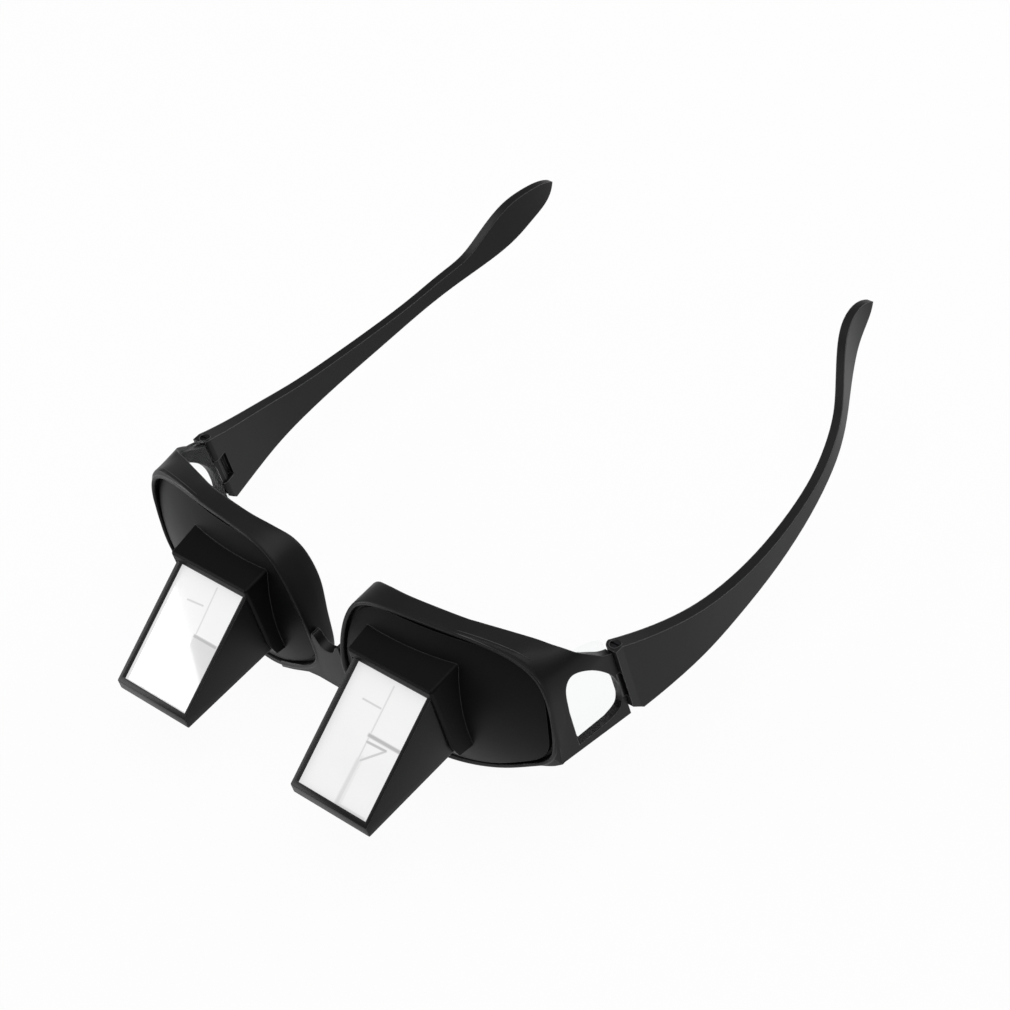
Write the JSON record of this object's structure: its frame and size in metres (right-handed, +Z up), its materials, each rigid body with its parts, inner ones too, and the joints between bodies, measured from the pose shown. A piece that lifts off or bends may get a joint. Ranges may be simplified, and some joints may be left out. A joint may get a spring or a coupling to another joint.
{
  "type": "prism bed glasses",
  "caption": "Black wrap-around glasses with a wedge prism in a case before each eye, domed lens panels, side shields with clear liners and folding temples.",
  "frame": {"origin": "under the middle of the whole object, at the height of the rims' lowest point", "axes": "+X to the wearer's left, -Y the way the prisms face, +Y along the temples to the ears, +Z up"},
  "size_m": [0.159, 0.1906, 0.0478],
  "materials": {
    "frame_black": "satin",
    "panel_black": "satin",
    "case_black": "satin",
    "prism_glass": "polished",
    "clear_lens": "polished",
    "temple_black": "satin",
    "screw_steel": "blackened"
  },
  "bodies": {
    "front": {"front_frame": "frame_black", "lens_panel_left": "panel_black", "lens_panel_right": "panel_black", "prism_case_left": "case_black", "prism_case_right": "case_black", "prism_left": "prism_glass", "prism_right": "prism_glass", "side_lens_left": "clear_lens", "side_lens_right": "clear_lens", "hinge_screw_left": "screw_steel", "hinge_screw_right": "screw_steel"},
    "left_temple": {"temple_left": "temple_black"},
    "right_temple": {"temple_right": "temple_black"}
  },
  "joints": [
    {"name": "left_temple_fold", "type": "hinge", "parent": "front", "child": "left_temple", "pos_m": [0.0742, -0.0293, 0.0237], "axis": [0, 0, 1], "range_deg": [0, 90]},
    {"name": "right_temple_fold", "type": "hinge", "parent": "front", "child": "right_temple", "pos_m": [-0.0742, -0.0293, 0.0237], "axis": [0, 0, -1], "range_deg": [0, 76]}
  ]
}
